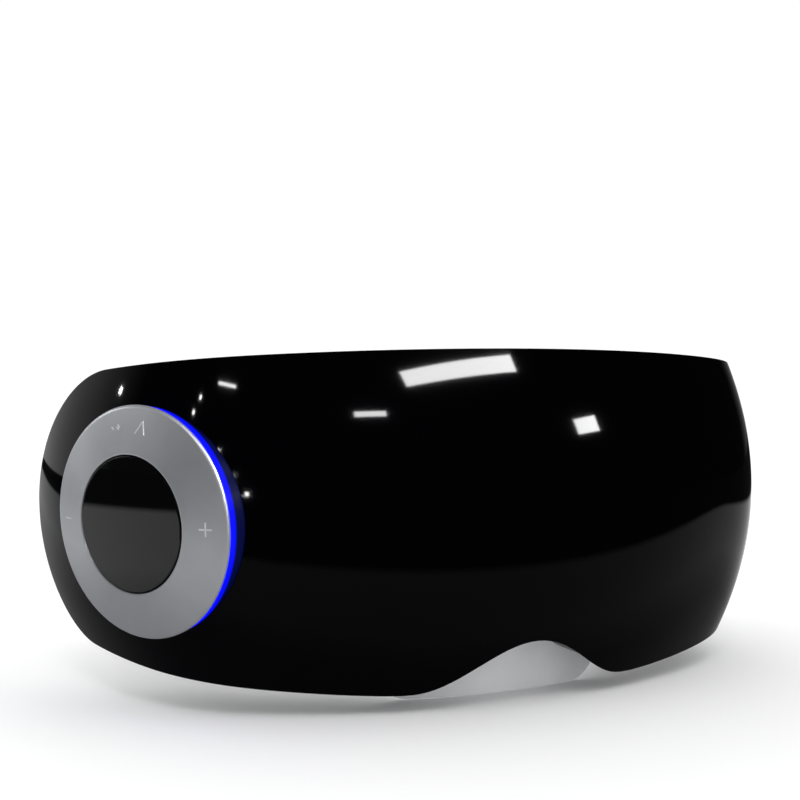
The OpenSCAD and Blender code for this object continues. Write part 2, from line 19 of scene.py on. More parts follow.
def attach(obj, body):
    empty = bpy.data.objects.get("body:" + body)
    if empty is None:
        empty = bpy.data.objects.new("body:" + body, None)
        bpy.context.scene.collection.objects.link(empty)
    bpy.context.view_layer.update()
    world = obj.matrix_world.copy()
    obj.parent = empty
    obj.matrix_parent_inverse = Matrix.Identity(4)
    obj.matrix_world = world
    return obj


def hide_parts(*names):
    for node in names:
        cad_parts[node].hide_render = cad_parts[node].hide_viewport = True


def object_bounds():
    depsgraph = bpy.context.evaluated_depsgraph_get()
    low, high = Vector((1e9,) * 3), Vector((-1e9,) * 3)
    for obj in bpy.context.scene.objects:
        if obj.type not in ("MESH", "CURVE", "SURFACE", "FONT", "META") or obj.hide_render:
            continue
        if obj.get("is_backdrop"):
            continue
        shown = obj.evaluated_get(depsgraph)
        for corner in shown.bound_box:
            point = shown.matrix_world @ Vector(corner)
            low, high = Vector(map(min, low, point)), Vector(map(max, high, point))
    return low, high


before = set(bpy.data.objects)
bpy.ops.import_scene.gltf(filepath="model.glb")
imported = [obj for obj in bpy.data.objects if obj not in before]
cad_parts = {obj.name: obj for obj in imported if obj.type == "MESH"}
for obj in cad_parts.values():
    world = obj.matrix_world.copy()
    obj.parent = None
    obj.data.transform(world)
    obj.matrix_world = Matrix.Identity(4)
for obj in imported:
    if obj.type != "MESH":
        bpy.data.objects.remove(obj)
cad_low, cad_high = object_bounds()
MM = 0.001

# %% [markdown]
# The visor follows one curve when seen from above: a wide front, a tighter corner and a nearly
# straight temple. Polished black shows every jump in curvature as a kink in its reflections, so
# the three radii are blended into each other over a couple of centimetres before the curve is
# integrated. Seen from the front, the top edge droops a little, the bottom edge has the nose
# notch, and both run into long rounded corners behind the temples.

# %% The visor's curve, seen from above
MASK_DEPTH, FACE_R, REAR_R = 34.0, 84.0, 94.0
FRONT_R, CORNER_R, TEMPLE_R = 146.0, 50.0, 110.0
FRONT_A, CORNER_TURN = math.radians(29), math.radians(39)
FRONT_L = FRONT_A * FRONT_R
CORNER_L = FRONT_L + CORNER_TURN * CORNER_R
VISOR_L = CORNER_L + 46.0
BLEND = 11.0


def step(x):
    x = np.clip(x, 0, 1)
    return x * x * (3 - 2 * x)


curve_s = np.linspace(0, VISOR_L + 2, 4001)
bend = 1 / FRONT_R + (1 / CORNER_R - 1 / FRONT_R) * step((curve_s - FRONT_L + BLEND) / (2 * BLEND))
bend += (1 / TEMPLE_R - 1 / CORNER_R) * step((curve_s - CORNER_L + BLEND) / (2 * BLEND))
ds = curve_s[1] - curve_s[0]
curve_a = np.concatenate([[0], np.cumsum((bend[1:] + bend[:-1]) / 2 * ds)])
curve_x = np.concatenate([[0], np.cumsum(np.cos((curve_a[1:] + curve_a[:-1]) / 2) * ds)])
curve_y = np.concatenate([[0], np.cumsum(np.sin((curve_a[1:] + curve_a[:-1]) / 2) * ds)]) - MASK_DEPTH
print(f"visor's half length {VISOR_L:.1f} mm, widest point x = {curve_x.max():.1f} mm")

# %% The visor's crown and outline
CROWN_R, CROWN_Z = 89.0, 2.5
TOP_Z, TOP_DROP, LOBE_Z, NOTCH_H, NOTCH_W, LOW_RISE = 41.8, 8.1, -39.9, 12.1, 33.8, 11.5
TOP_CORNER_L, LOW_CORNER_L, TIP_Z = 34.5, 25.0, 1.4


def skin(s, z, depth=0.0):
    """A point on the visor at distance s from the middle and height z, depth mm under its surface."""
    a, side = np.interp(abs(s), curve_s, curve_a), math.copysign(1, s)
    slope = (z - CROWN_Z) / CROWN_R
    drop = (z - CROWN_Z) ** 2 / (2 * CROWN_R)
    n = np.array([math.sin(a), -math.cos(a), slope]) / math.hypot(1, slope)
    p = np.array([np.interp(abs(s), curve_s, curve_x) - drop * math.sin(a),
                  np.interp(abs(s), curve_s, curve_y) + drop * math.cos(a), z]) - depth * n
    return np.array([side * p[0], p[1], p[2]])


def corner_loss(s, length, height):
    return height * (1 - math.sqrt(1 - min(1, max(0, abs(s) - VISOR_L + length) / length) ** 2))


def top_edge(s):
    return TOP_Z - TOP_DROP * (s / VISOR_L) ** 2 - corner_loss(s, TOP_CORNER_L, TOP_Z - TOP_DROP - TIP_Z)


def low_edge(s):
    notch = NOTCH_H * math.cos(math.pi / 2 * min(1, abs(s) / NOTCH_W)) ** 2.2
    rise = LOW_RISE * (max(0, abs(s) - 36) / (VISOR_L - 36)) ** 1.25
    return LOBE_Z + notch + rise + corner_loss(s, LOW_CORNER_L, TIP_Z - LOBE_Z - LOW_RISE)


def stations(length, n):
    """2n+1 distances from one end to the other, closer together towards the ends."""
    return [length * math.sin(math.pi / 2 * i / n) for i in range(-n, n + 1)]


def heights(s, rows, inset):
    low, top = low_edge(s) + inset, top_edge(s) - inset
    return [low + (top - low) * j / rows for j in range(rows + 1)]


def skin_grid(ss, rows, depth, inset):
    return [[skin(s, z, depth) for z in heights(s, rows, inset)] for s in ss]


# %% [markdown]
# Every piece ends up with its object at the origin and its place in its mesh. These helpers turn
# grids of points into closed meshes, apply a modifier, and cut one piece with another, which is
# how moulded parts get their crisp holes.

# %% Helpers for meshes
def deselect():
    if bpy.context.object and bpy.context.object.mode != "OBJECT":
        bpy.ops.object.mode_set(mode="OBJECT")
    bpy.ops.object.select_all(action="DESELECT")


def pick(obj):
    deselect()
    obj.select_set(True)
    bpy.context.view_layer.objects.active = obj
    return obj


def piece(name, points_mm, faces, smooth=40):
    mesh = bpy.data.meshes.new(name)
    mesh.from_pydata([tuple(float(c) * MM for c in p) for p in points_mm], [], faces)
    obj = bpy.data.objects.new(name, mesh)
    bpy.context.collection.objects.link(obj)
    tidy(obj, smooth)
    return obj


def tidy(obj, smooth=40):
    """Merges doubles, turns the faces outwards and smooths across the gentle edges."""
    bm = bmesh.new()
    bm.from_mesh(obj.data)
    bmesh.ops.remove_doubles(bm, verts=bm.verts, dist=1e-6)
    bmesh.ops.dissolve_degenerate(bm, edges=bm.edges, dist=1e-7)
    bmesh.ops.recalc_face_normals(bm, faces=bm.faces)
    bm.to_mesh(obj.data)
    bm.free()
    pick(obj)
    bpy.ops.object.shade_smooth_by_angle(angle=math.radians(smooth))


def modified(obj, kind, **settings):
    """Adds a modifier with its settings and applies it at once."""
    pick(obj)
    m = obj.modifiers.new(kind.title(), kind)
    for key, value in settings.items():
        setattr(m, key, value)
    bpy.ops.object.modifier_apply(modifier=m.name)
    return obj


def rounded(obj, width_mm, segments=3, angle=40):
    modified(obj, "BEVEL", width=width_mm * MM, segments=segments, limit_method="ANGLE",
             angle_limit=math.radians(angle), harden_normals=False)
    return obj


def cut(obj, cutter):
    modified(obj, "BOOLEAN", operation="DIFFERENCE", solver="EXACT", object=cutter)
    bpy.data.objects.remove(cutter, do_unlink=True)
    return obj


def joined(name, objects):
    deselect()
    for o in objects:
        o.select_set(True)
    bpy.context.view_layer.objects.active = objects[0]
    if len(objects) > 1:
        bpy.ops.object.join()
    objects[0].name = objects[0].data.name = name
    return objects[0]


def slab(outer, inner):
    """Points and faces of a closed solid between an outer and an inner grid of points."""
    n, m = len(outer), len(outer[0])
    points = [p for column in outer for p in column] + [p for column in inner for p in column]
    k = n * m
    faces = []
    for i in range(n - 1):
        for j in range(m - 1):
            q = i * m + j
            faces += [(q, q + 1, q + m + 1, q + m), (k + q, k + q + m, k + q + m + 1, k + q + 1)]
        faces.append((i * m, (i + 1) * m, k + (i + 1) * m, k + i * m))
        q = i * m + m - 1
        faces.append((q + m, q, k + q, k + q + m))
    for j in range(m - 1):
        faces.append((j + 1, j, k + j, k + j + 1))
        q = (n - 1) * m + j
        faces.append((q, q + 1, k + q + 1, k + q))
    return points, faces


# %% [markdown]
# The dial has its own axis, which leans out over the temple. Its frame is an origin and three
# directions: towards the front, up, and out of the dial. A turned part is drawn as half of its
# section and spun round that axis, as on a lathe.

# %% The dial's frame
DIAL_S, DIAL_Z, DIAL_SINK = 100.9, 1.5, 2.5
DIAL_A, DIAL_TILT = 60.4, 2
dial_turn = (Matrix.Rotation(math.radians(-DIAL_A), 3, "Z")
             @ Matrix.Rotation(math.radians(90 + DIAL_TILT), 3, "X"))


def cad_skin(s, z):
    """The engineering model's own point on the corner's arc, with no blending."""
    a = FRONT_A + (abs(s) - FRONT_L) / CORNER_R
    reach = FRONT_R - CORNER_R
    cx, cy = reach * math.sin(FRONT_A), FRONT_R - reach * math.cos(FRONT_A)
    r, slope = CORNER_R - (z - CROWN_Z) ** 2 / (2 * CROWN_R), (z - CROWN_Z) / CROWN_R
    n = Vector((-math.sin(a), -math.cos(a), slope)).normalized()
    return Vector((-(cx + r * math.sin(a)), cy - r * math.cos(a) - MASK_DEPTH, z)), n


dial_skin, dial_skin_n = cad_skin(DIAL_S, DIAL_Z)
DIAL = dial_skin - DIAL_SINK * dial_skin_n
DIAL_X, DIAL_Y, DIAL_N = (dial_turn.col[i].copy() for i in range(3))
print("dial's centre in mm:", [round(c, 2) for c in DIAL], "facing", [round(c, 3) for c in DIAL_N])


def on_dial(x, y, z):
    return DIAL + x * DIAL_X + y * DIAL_Y + z * DIAL_N


def turned(name, section, steps=160, smooth=30):
    """A section of (radius, height) points, closed, spun round the dial's axis."""
    mesh = bpy.data.meshes.new(name)
    edges = [(i, (i + 1) % len(section)) for i in range(len(section))]
    if section[0][0] == 0 and section[-1][0] == 0:
        edges = edges[:-1]
    mesh.from_pydata([tuple(on_dial(r, 0, z) * MM) for r, z in section], edges, [])
    obj = bpy.data.objects.new(name, mesh)
    bpy.context.collection.objects.link(obj)
    pick(obj)
    bpy.ops.object.mode_set(mode="EDIT")
    bpy.ops.mesh.select_all(action="SELECT")
    bpy.ops.mesh.spin(steps=steps, angle=2 * math.pi, center=tuple(DIAL * MM), axis=tuple(DIAL_N))
    bpy.ops.mesh.select_all(action="SELECT")
    bpy.ops.mesh.remove_doubles(threshold=2e-6)
    bpy.ops.mesh.normals_make_consistent(inside=False)
    bpy.ops.object.mode_set(mode="OBJECT")
    bpy.ops.object.shade_smooth_by_angle(angle=math.radians(smooth))
    return obj


# %% [markdown]
# Finishes are procedural, on the piece's own object coordinates, with their scale in metres. Most
# moulded plastics share one recipe: an even colour with a slow drift in it, a fine grain pressed
# in by the mould as bump, and a roughness that wanders a little, as handling leaves it.

# %% Helpers for finishes
def finish(name, color, roughness, metallic=0.0, **sockets):
    mat = bpy.data.materials.new(name)
    mat.use_nodes = True
    mat.diffuse_color = (*color, 1)
    bsdf = mat.node_tree.nodes["Principled BSDF"]
    bsdf.inputs["Base Color"].default_value = (*color, 1)
    bsdf.inputs["Roughness"].default_value = roughness
    bsdf.inputs["Metallic"].default_value = metallic
    for key, value in sockets.items():
        bsdf.inputs[key.replace("_", " ")].default_value = value
    return mat


def node(mat, kind, **settings):
    n = mat.node_tree.nodes.new("ShaderNode" + kind)
    for key, value in settings.items():
        if hasattr(n, key):
            setattr(n, key, value)
        else:
            n.inputs[key.replace("_", " ")].default_value = value
    return n


def wire(mat, a, out, b, into):
    mat.node_tree.links.new(a.outputs[out], b.inputs[into])


def bsdf_of(mat):
    return mat.node_tree.nodes["Principled BSDF"]


def two_tones(mat, first, second):
    """A ramp from one colour to another."""
    ramp = node(mat, "ValToRGB")
    ramp.color_ramp.elements[0].color = (*first, 1)
    ramp.color_ramp.elements[1].color = (*second, 1)
    return ramp


def drift(mat, color, other, scale):
    """Lets the colour wander between two tones."""
    co, noise = node(mat, "TexCoord"), node(mat, "TexNoise", Scale=scale, Detail=4.0, Roughness=0.55)
    ramp = two_tones(mat, color, other)
    ramp.color_ramp.elements[0].position, ramp.color_ramp.elements[1].position = 0.32, 0.68
    wire(mat, co, "Object", noise, "Vector")
    wire(mat, noise, "Fac", ramp, "Fac")
    wire(mat, ramp, "Color", bsdf_of(mat), "Base Color")
    return mat


def wander(mat, low, high, scale):
    """Lets the roughness wander between two values."""
    co, noise = node(mat, "TexCoord"), node(mat, "TexNoise", Scale=scale, Detail=3.0)
    spread = node(mat, "MapRange")
    spread.inputs["To Min"].default_value, spread.inputs["To Max"].default_value = low, high
    wire(mat, co, "Object", noise, "Vector")
    wire(mat, noise, "Fac", spread, "Value")
    wire(mat, spread, "Result", bsdf_of(mat), "Roughness")
    return mat


def pressed(mat, texture, out, depth_mm, strength=1.0, over=None):
    """Presses a texture's height into the surface, on top of an earlier bump if there is one."""
    bump = node(mat, "Bump", Strength=strength, Distance=depth_mm * MM)
    wire(mat, texture, out, bump, "Height")
    if over:
        wire(mat, over, "Normal", bump, "Normal")
    wire(mat, bump, "Normal", bsdf_of(mat), "Normal")
    return bump


def grain(mat, scale, depth_mm):
    co, noise = node(mat, "TexCoord"), node(mat, "TexNoise", Scale=scale, Detail=3.0, Roughness=0.6)
    wire(mat, co, "Object", noise, "Vector")
    pressed(mat, noise, "Fac", depth_mm)
    return mat


def moulded(name, color, roughness, grain_scale=2600, grain_mm=0.02, **sockets):
    other = tuple(c * 0.88 for c in color)
    mat = finish(name, color, roughness, **sockets)
    drift(mat, color, other, 45)
    wander(mat, roughness * 0.88, min(1, roughness * 1.12), 70)
    return grain(mat, grain_scale, grain_mm)


def dress(obj, mat):
    obj.data.materials.clear()
    obj.data.materials.append(mat)
    return obj


def dress_cad(mat, *names):
    for name in names:
        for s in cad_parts[name].material_slots:
            s.material = mat


# %% [markdown]
# The visor on the real mask is one injection-moulded piece with a piano-black finish. Its surface
# is laid out as a fine grid straight from the curves above, because a polished surface has to be
# exactly fair: sculpting or subdividing a rough cage would ripple the reflections. An inner grid
# gives it its wall, and the rim gets the small radius that catches the light along the notch.

# %% Visor
SHELL_T = 2.2
visor_s = stations(VISOR_L - 0.1, 120)
visor = piece("visor", *slab(skin_grid(visor_s, 46, 0, 0), skin_grid(visor_s, 46, SHELL_T, 0)))
rounded(visor, 0.55, 3, 50)
dial_hole = turned("dial_hole", [(0, -14), (27.1, -14), (27.1, 9), (0, 9)])
cut(visor, dial_hole)
pick(visor)
bpy.ops.object.shade_smooth_by_angle(angle=math.radians(35))
print("visor:", len(visor.data.polygons), "faces")

# %% Piano black
piano_black = finish("piano_black", (0.0005, 0.0005, 0.0008), 0.045, Specular_IOR_Level=0.04)
wander(piano_black, 0.035, 0.06, 60)
dress(visor, piano_black)
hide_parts("front_shell")
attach(visor, "mask")

# %% [markdown]
# The rear housing is the tub behind the visor. It carries everything inside and is the face of
# the mask where the cushion doesn't reach. It is the solid between the visor's inner surface and
# the face's cylinder, hollowed, with its rear edges rounded. The strap's slots, the speakers'
# grilles, the charging port's mouth and the screw holes are cut last so that they stay crisp.

# %% Rear housing
REAR_TAPER, WALL_T, GAP, RIM_INSET = 0.93, 1.8, 0.25, 0.8
skin_points = [skin(s, CROWN_Z) for s in np.linspace(0, VISOR_L, 81)]
face_angles = [math.atan2(p[0], FACE_R - p[1]) for p in skin_points]


def face_angle(s):
    return math.copysign(np.interp(abs(s), np.linspace(0, VISOR_L, 81), face_angles), s)


def face_point(angle, r, z):
    return np.array([r * math.sin(angle), FACE_R - r * math.cos(angle), z])


def face_z(z):
    return CROWN_Z + (z - CROWN_Z) * REAR_TAPER


def face_grid(ss, rows, r, inset):
    return [[face_point(face_angle(s), r, face_z(z)) for z in heights(s, rows, inset)] for s in ss]


def at_face(angle_deg, r, z, x=0.0, y=0.0):
    """A point by its angle round the face; x runs along the wall and y towards the face."""
    a = math.radians(angle_deg)
    along, inwards = np.array([math.cos(a), math.sin(a), 0]), np.array([-math.sin(a), math.cos(a), 0])
    return face_point(a, r, z) + x * along + y * inwards


house_s = stations(VISOR_L - 1.5, 70)
housing = piece("rear_housing_shell", *slab(skin_grid(house_s, 20, SHELL_T + GAP, RIM_INSET),
                                            face_grid(house_s, 20, REAR_R, RIM_INSET)))
rounded(housing, 1.2, 4, 45)
cavity_s = stations(VISOR_L - 4.5, 40)
wall_inset = RIM_INSET + WALL_T
cavity = piece("cavity", *slab(skin_grid(cavity_s, 8, SHELL_T - 1, wall_inset),
                               face_grid(cavity_s, 8, REAR_R + WALL_T, wall_inset)))
cut(housing, cavity)
print("housing hollowed:", len(housing.data.polygons), "faces")

# %% Holes in the housing
SCREWS = [(9, 32), (30, 31), (24.5, -29), (66, 15), (66, -13)]
STRAP_A, SPEAKER_A, ROD_REACH = 69.3, 61.5, 4


def rod(angle_deg, z, radius, x=0.0, sides=20):
    """A cutter through the housing's rear wall."""
    a, b = at_face(angle_deg, REAR_R, z, x, -ROD_REACH), at_face(angle_deg, REAR_R, z, x, ROD_REACH)
    way = Vector(b - a)
    turn = way.to_track_quat("Z", "Y").to_euler()
    bpy.ops.mesh.primitive_cylinder_add(vertices=sides, radius=radius * MM, depth=way.length * MM,
                                        location=tuple((a + b) / 2 * MM), rotation=turn)
    bpy.ops.object.transform_apply()
    return bpy.context.object


def bar(center_mm, size_mm, turn_z):
    bpy.ops.mesh.primitive_cube_add(size=1, location=tuple(Vector(center_mm) * MM), rotation=(0, 0, turn_z))
    bpy.context.object.scale = tuple(Vector(size_mm) * MM)
    bpy.ops.object.transform_apply()
    return bpy.context.object


deselect()
cutters = []
for side in (-1, 1):
    cutters += [rod(side * a, z, 1.3) for a, z in SCREWS]
    cutters += [rod(side * SPEAKER_A, CROWN_Z + dz, 0.7, dx, sides=14)
                for dx in (-2.4, 0, 2.4) for dz in (-6, -3, 0, 3, 6)]
    slot_at = at_face(side * STRAP_A, REAR_R, CROWN_Z, 0, -2)
    cutters.append(bar(slot_at, (2.8, 8, 26.5), math.radians(side * STRAP_A)))
PORT_S, PORT_DEPTH = 62.0, 15.0
port_turn = np.interp(PORT_S, curve_s, curve_a)
port_mid = skin(PORT_S, CROWN_Z, PORT_DEPTH + 1.9)
cutters.append(rounded(bar((port_mid[0], port_mid[1], -38), (9.4, 3.8, 10), port_turn), 1.4, 4))
cut(housing, joined("housing_holes", cutters))
pick(housing)
bpy.ops.object.shade_smooth_by_angle(angle=math.radians(35))
print("housing with holes:", len(housing.data.polygons), "faces")

# %% Housing finish
housing_grey = moulded("housing_grey", (0.2, 0.205, 0.215), 0.5, grain_scale=3200, grain_mm=0.03,
                       Specular_IOR_Level=0.06)
dress(housing, housing_grey)
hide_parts("rear_housing")
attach(housing, "mask")

# %% [markdown]
# Below the notch a thin soft flap closes the gap over the bridge of the nose and keeps light out.
# It is moulded silicone, bowed with the face, and hangs in front of the cushion. It is made as a
# sheet on the face's cylinder with its own thickness and fully rounded edges.

# %% Nose flap
FLAP_T, FLAP_HALF_W, FLAP_LOW_Z, FLAP_TOP_Z = 1.4, 36.0, -44.4, -24
SKIN_DEEP = (0.002, 0.002, 0.002)


def flap_low(x):
    return FLAP_LOW_Z + 9 * (max(0, abs(x) - 24) / (FLAP_HALF_W - 24)) ** 2


def flap_sheet(r):
    grid = []
    for i in range(-48, 49):
        x = FLAP_HALF_W * i / 48
        low = flap_low(x)
        grid.append([face_point(math.asin(x / r), r, low + (FLAP_TOP_Z - low) * j / 20) for j in range(21)])
    return grid


nose_flap = piece("nose_bridge_flap", *slab(flap_sheet(REAR_R - 0.1), flap_sheet(REAR_R - 0.1 - FLAP_T)))
rounded(nose_flap, 0.6, 4, 50)
flap_silicone = moulded("flap_silicone", (0.88, 0.885, 0.9), 0.5, grain_scale=900, grain_mm=0.012,
                        Specular_IOR_Level=0.15, Subsurface_Weight=0.06, Subsurface_Radius=SKIN_DEEP)
dress(nose_flap, flap_silicone)
pick(nose_flap)
bpy.ops.object.shade_smooth_by_angle(angle=math.radians(50))
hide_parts("nose_flap")
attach(nose_flap, "mask")

# %% [markdown]
# The metal ring is the one part of the dial that a hand moves: it rocks to press the switches
# below it. It is turned from aluminium as a shallow cone, so its section is drawn once, with the
# small chamfers that a turning tool leaves, and spun. Turned metal is brushed in circles, so the
# finish stretches highlights across the grooves: its tangent runs round the dial's axis.

# %% Metal ring
RING_R, RING_RISE, BUTTON_R = 27.3, 3.3, 15.8
RING_IN = BUTTON_R + 0.3
ring_section = [(RING_IN, 2.3), (RING_IN, RING_RISE - 0.25), (RING_IN + 0.1, RING_RISE - 0.05),
                (RING_IN + 0.35, RING_RISE), (RING_R - 0.75, 0.24), (RING_R - 0.3, 0.09),
                (RING_R - 0.08, -0.06), (RING_R, -0.22), (RING_R, -0.5), (25, -0.5), (25, -0.25)]
ring = turned("turned_ring", ring_section, steps=240, smooth=20)
ring_metal = finish("turned_aluminium", (0.32, 0.33, 0.345), 0.3, 0.6, Anisotropic=0.65)


def in_dial_frame(mat, coords):
    """Object coordinates as seen from the dial: x to the front, y up, z out, in metres."""
    back = dial_turn.transposed()
    place = node(mat, "Mapping")
    place.inputs["Rotation"].default_value = back.to_euler()
    place.inputs["Location"].default_value = back @ (-DIAL * MM)
    wire(mat, coords, "Object", place, "Vector")
    return place


co = node(ring_metal, "TexCoord")
local = in_dial_frame(ring_metal, co)
flat = node(ring_metal, "VectorMath", operation="MULTIPLY")
flat.inputs[1].default_value = (1, 1, 0)
wire(ring_metal, local, "Vector", flat, 0)
radius = node(ring_metal, "VectorMath", operation="LENGTH")
wire(ring_metal, flat, "Vector", radius, 0)
grooves = node(ring_metal, "TexNoise", noise_dimensions="1D", Scale=2600.0, Detail=3.0, Roughness=0.7)
wire(ring_metal, radius, "Value", grooves, "W")
pressed(ring_metal, grooves, "Fac", 0.006, 0.5)
from_axis = node(ring_metal, "VectorMath", operation="SUBTRACT")
from_axis.inputs[1].default_value = DIAL * MM
wire(ring_metal, co, "Object", from_axis, 0)
round_axis = node(ring_metal, "VectorMath", operation="CROSS_PRODUCT")
round_axis.inputs[0].default_value = DIAL_N
wire(ring_metal, from_axis, "Vector", round_axis, 1)
wire(ring_metal, round_axis, "Vector", bsdf_of(ring_metal), "Tangent")
drift(ring_metal, (0.27, 0.28, 0.295), (0.31, 0.32, 0.34), 60)
dress(ring, ring_metal)
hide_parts("control_ring")
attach(ring, "ring")

# %% [markdown]
# The marks on the ring are plain: minus on one side, plus on the other, and at the top a chevron
# with a small cross and tick beside it. On the real one they are laser-marked, so here they are
# slivers that lie on the cone, a few hundredths of a millimetre proud.

# %% Marks on the ring
cone_slope = (RING_RISE - 0.24) / (RING_R - 0.75 - RING_IN - 0.35)
MARK_W, MARK_T = 0.34, 0.05


def mark(angle_deg, r, length, width, turn_deg=0.0, off=0.0):
    """A bar on the cone: its length runs outwards from the axis, unless it is turned."""
    a, t = math.radians(angle_deg), math.radians(turn_deg)
    out = (DIAL_X * math.cos(a) + DIAL_Y * math.sin(a) - DIAL_N * cone_slope).normalized()
    round_ = (-DIAL_X * math.sin(a) + DIAL_Y * math.cos(a)).normalized()
    up = out.cross(round_).normalized()
    along, across = out * math.cos(t) + round_ * math.sin(t), -out * math.sin(t) + round_ * math.cos(t)
    height = RING_RISE - cone_slope * (r - RING_IN - 0.35)
    mid = on_dial(r * math.cos(a), r * math.sin(a), height) + round_ * off
    turn = Matrix((along, across, up)).transposed().to_euler()
    bpy.ops.mesh.primitive_cube_add(size=1, location=tuple(mid * MM), rotation=turn)
    bpy.context.object.scale = (length * MM, width * MM, MARK_T * MM)
    bpy.ops.object.transform_apply()
    return bpy.context.object


deselect()
marks = [mark(180, 22.6, 3.0, MARK_W), mark(0, 21.8, 3.2, MARK_W), mark(0, 21.8, MARK_W, 3.2)]
marks += [mark(82, 22.4, 3.4, MARK_W, 24, -0.7), mark(82, 22.4, 3.4, MARK_W, -24, 0.7)]
marks += [mark(101, 22.6, 1.4, MARK_W, t) for t in (0, 90)] + [mark(101, 22.6, 1.1, MARK_W, 45, 1.8)]
ring_marks = rounded(joined("ring_marks", marks), 0.015, 1)
mark_grey = moulded("mark_grey", (0.55, 0.56, 0.58), 0.45, Metallic=0.6)
dress(ring_marks, mark_grey)
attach(ring_marks, "ring")

# %% [markdown]
# The centre button is a flat disc of black acrylic with a polished edge. It travels less than
# half a millimetre, inside a running gap to the ring.

# %% Centre button
stem = turned("button_stem", [(0, 1.8), (2.5, 1.8), (2.5, -3.4), (0, -3.4)], steps=48)
cap_section = [(0, 1.8), (14.2, 1.8), (14.2, 0.2), (15.6, 0.2), (15.6, 1.0), (BUTTON_R, 1.0),
               (BUTTON_R, 3.05), (15.74, 3.24), (15.6, 3.36), (15.4, 3.4), (0, 3.4)]
cap = turned("button_cap", cap_section, steps=200, smooth=25)
button = joined("centre_button_cap", [cap, stem])
button_black = finish("acrylic_black", (0.0008, 0.0008, 0.001), 0.035, Specular_IOR_Level=0.4)
wander(button_black, 0.03, 0.05, 90)
dress(button, button_black)
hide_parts("centre_button")
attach(button, "button")

# %% [markdown]
# Under the ring's rim a frosted tube carries the light of sixteen LEDs to the outside. It shows
# as a blue crescent where the visor falls away from the dial. The tube keeps its engineering
# shape; its finish glows, a little unevenly from one LED to the next, and fades away from the rim.

# %% Light guide
glow_blue = finish("lit_light_guide", (0.0, 0.002, 0.05), 0.35, Emission_Strength=3.0,
                   Specular_IOR_Level=0.1)
co = node(glow_blue, "TexCoord")
ripple = node(glow_blue, "TexNoise", Scale=140.0, Detail=2.0)
wire(glow_blue, co, "Object", ripple, "Vector")
local = in_dial_frame(glow_blue, co)
up_axis = node(glow_blue, "SeparateXYZ")
wire(glow_blue, local, "Vector", up_axis, "Vector")
near_rim = node(glow_blue, "MapRange", interpolation_type="SMOOTHSTEP")
near_rim.inputs["From Min"].default_value = -3.3 * MM
near_rim.inputs["From Max"].default_value = -1.5 * MM
wire(glow_blue, up_axis, "Z", near_rim, "Value")
tone = two_tones(glow_blue, (0.0, 0.0, 0.75), (0.001, 0.002, 1.0))
wire(glow_blue, ripple, "Fac", tone, "Fac")
faded = node(glow_blue, "VectorMath", operation="SCALE")
wire(glow_blue, tone, "Color", faded, 0)
wire(glow_blue, near_rim, "Result", faded, "Scale")
wire(glow_blue, faded, "Vector", bsdf_of(glow_blue), "Emission Color")
grain(glow_blue, 1500, 0.01)
dress_cad(glow_blue, "light_guide")

# %% [markdown]
# The face cushion is foam under soft synthetic leather, with an opening for each eye pad. A real
# one is flat at the back and crowned in front: the cover pulls down at every edge and along the
# sewn channel that runs round it. The engineering solid is copied, remeshed finely, and each
# point of its face sinks by its distance to the nearest edge, which gives that crown evenly round
# the outline and the two openings.

# %% Cushion's edges
CUSHION_T = 8.3
MIDDLE_R = 88


def copy_of(name, new_name):
    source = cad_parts[name]
    mesh = source.data.copy()
    obj = bpy.data.objects.new(new_name, mesh)
    bpy.context.collection.objects.link(obj)
    mesh.materials.clear()
    bm = bmesh.new()
    bm.from_mesh(mesh)
    bmesh.ops.remove_doubles(bm, verts=bm.verts, dist=1e-6)
    bm.to_mesh(mesh)
    bm.free()
    return obj


def unrolled(p):
    """Angle round the face times its radius, height, and radius, of a point in metres."""
    x, y, z = p.x / MM, FACE_R - p.y / MM, p.z / MM
    return math.atan2(x, y) * MIDDLE_R, z, math.hypot(x, y)


cushion = copy_of("face_cushion", "face_cushion_cover")
edge_points = []
bm = bmesh.new()
bm.from_mesh(cushion.data)
for e in bm.edges:
    if len(e.link_faces) == 2 and e.calc_face_angle() > math.radians(50):
        a, b = (unrolled(v.co) for v in e.verts)
        if a[2] < FACE_R + 1.5 and b[2] < FACE_R + 1.5:
            n = max(1, int(math.hypot(a[0] - b[0], a[1] - b[1])))
            edge_points += [(a[0] + (b[0] - a[0]) * k / n, a[1] + (b[1] - a[1]) * k / n)
                            for k in range(n + 1)]
bm.free()
edges_tree = KDTree(len(edge_points))
for i, (u, v) in enumerate(edge_points):
    edges_tree.insert((u, v, 0), i)
edges_tree.balance()
print("cushion's outline:", len(edge_points), "points")

# %% Crown the cushion
modified(cushion, "REMESH", mode="VOXEL", voxel_size=1.15 * MM, use_smooth_shade=True)
modified(cushion, "SMOOTH", factor=0.5, iterations=6)
for v in cushion.data.vertices:
    u, z, r = unrolled(v.co)
    d = edges_tree.find((u, z, 0))[2]
    front = min(1, max(0, (FACE_R + CUSHION_T - r) / CUSHION_T))
    edge = 1 - min(1, d / 7.5)
    sink = 4.2 * (1 - math.sqrt(max(0, 1 - edge * edge))) + 1.3 * math.exp(-((d - 8.6) / 0.9) ** 2)
    sink += 0.35 * math.sin(u / 5.5) * math.sin(z / 6.5 + u / 17) * min(1, d / 10)
    r_new = max(FACE_R, r + sink * front)
    a = u / MIDDLE_R
    v.co = Vector((r_new * math.sin(a), FACE_R - r_new * math.cos(a), z)) * MM
modified(cushion, "SMOOTH", factor=0.5, iterations=2)
modified(cushion, "SUBSURF", levels=1, render_levels=1)
print("cushion:", len(cushion.data.polygons), "faces")

